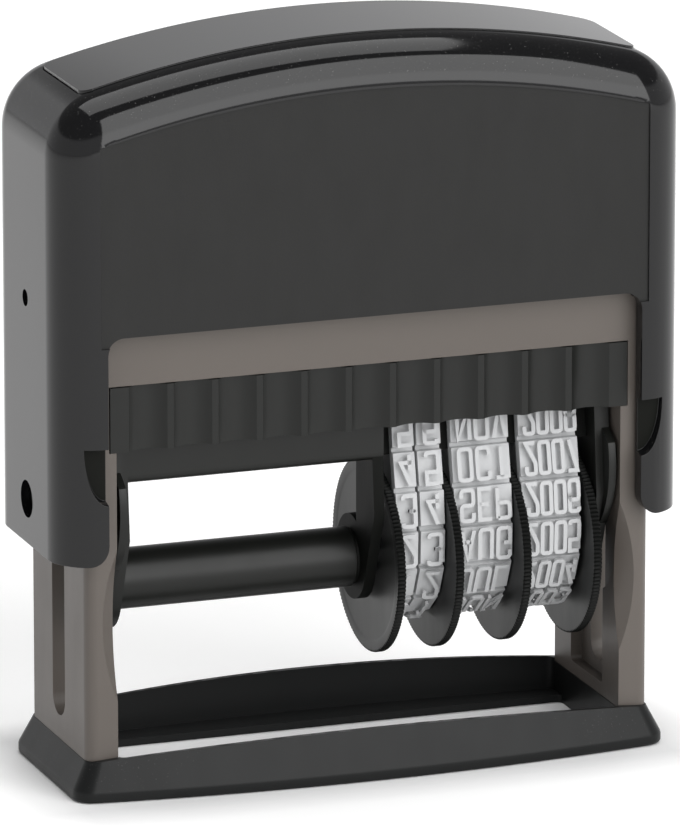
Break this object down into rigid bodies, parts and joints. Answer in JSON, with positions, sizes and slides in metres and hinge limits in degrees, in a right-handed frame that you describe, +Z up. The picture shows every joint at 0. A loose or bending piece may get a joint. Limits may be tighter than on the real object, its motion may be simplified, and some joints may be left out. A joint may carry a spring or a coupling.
{
  "type": "date and time stamp machine",
  "caption": "Self-inking text and date stamp: a spring-loaded cap presses down and turns the printing unit over, with thumb wheels for the date.",
  "frame": {"origin": "centre of the base ring's lower face, on the paper", "axes": "+X to the right along the stamp, seen from the front; +Y from the front to the back; +Z up, along the cap's travel"},
  "size_m": [0.07, 0.027, 0.08],
  "materials": {
    "cap_gloss": "polished black moulding with a fine matt panel front and back",
    "smoked_window": "polished, smoked",
    "card": "plain dark slip",
    "frame_plastic": "satin warm grey",
    "base_plastic": "fine matt grain, charcoal",
    "black_plastic": "satin black",
    "wheel_plastic": "satin black, knurled rim",
    "print_rubber": "pale grey printing rubber",
    "foam": "soft foam",
    "pad_felt": "felt soaked with black ink",
    "spring_steel": "drawn wire and pin"
  },
  "bodies": {
    "base": {"frame": "frame_plastic", "base_ring": "base_plastic", "return_spring": "spring_steel"},
    "cap": {"cap_shell": "cap_gloss", "index_window": "smoked_window", "index_card": "card"},
    "cartridge": {"cartridge_tray": "black_plastic", "ink_pad": "pad_felt"},
    "rotor": {"rotor_carrier": "black_plastic", "end_cheek": "black_plastic", "pivot_pin_left": "black_plastic", "pivot_pin_right": "black_plastic", "date_axle": "spring_steel", "spacer_tube": "black_plastic", "text_plate_base": "foam", "text_plate": "print_rubber", "date_bridge": "black_plastic", "band_day_tens": "print_rubber", "band_day_units": "print_rubber", "band_month": "print_rubber", "band_year": "print_rubber"},
    "day_tens_wheel": {"wheel_day_tens": "wheel_plastic"},
    "day_units_wheel": {"wheel_day_units": "wheel_plastic"},
    "month_wheel": {"wheel_month": "wheel_plastic"},
    "year_wheel": {"wheel_year": "wheel_plastic"}
  },
  "joints": [
    {"name": "cap_press", "type": "slide", "parent": "base", "child": "cap", "axis": [0, 0, 1], "range_m": [-0.02045, 0], "stiffness_N_per_m": 400, "springref_m": 0.015, "deforming": ["return_spring"]},
    {"name": "rotor_turn", "type": "hinge", "parent": "cap", "child": "rotor", "pos_m": [0, 0, 0.03075], "axis": [-1, 0, 0], "range_deg": [0, 180]},
    {"name": "cartridge_pull", "type": "slide", "parent": "base", "child": "cartridge", "axis": [0, -1, 0], "range_m": [0, 0.026]},
    {"name": "day_tens_turn", "type": "hinge", "parent": "rotor", "child": "day_tens_wheel", "pos_m": [0, 0, 0.02105], "axis": [1, 0, 0], "continuous": true},
    {"name": "day_units_turn", "type": "hinge", "parent": "rotor", "child": "day_units_wheel", "pos_m": [0, 0, 0.02105], "axis": [1, 0, 0], "continuous": true},
    {"name": "month_turn", "type": "hinge", "parent": "rotor", "child": "month_wheel", "pos_m": [0, 0, 0.02105], "axis": [1, 0, 0], "continuous": true},
    {"name": "year_turn", "type": "hinge", "parent": "rotor", "child": "year_wheel", "pos_m": [0, 0, 0.02105], "axis": [1, 0, 0], "continuous": true}
  ],
  "couplings": [
    {"joint": "rotor_turn", "follows": "cap_press", "rad_per_m": -153.62}
  ]
}
